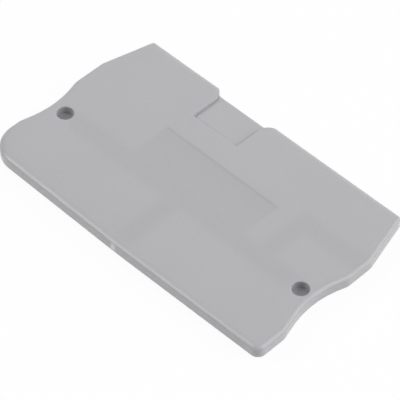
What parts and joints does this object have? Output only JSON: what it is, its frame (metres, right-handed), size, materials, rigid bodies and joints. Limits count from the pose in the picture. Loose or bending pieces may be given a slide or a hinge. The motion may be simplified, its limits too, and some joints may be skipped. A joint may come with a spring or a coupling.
{
  "type": "terminal block end cover",
  "caption": "Flat moulded end cover with curved sides, an edge notch, a sunk marking field, blind sockets and locating pegs, closing the open side of the last terminal block in a row.",
  "frame": {"origin": "middle of the part's box in plan, at the level of the peg tips", "axes": "+X along the length, +Y from the straight edge to the notched edge, +Z out of the outer face"},
  "size_m": [0.0486, 0.0284, 0.0028],
  "materials": {
    "grey_polyamide": "fine spark-eroded mould texture, satin"
  },
  "bodies": {
    "root": {"end_cover": "grey_polyamide"}
  },
  "joints": []
}
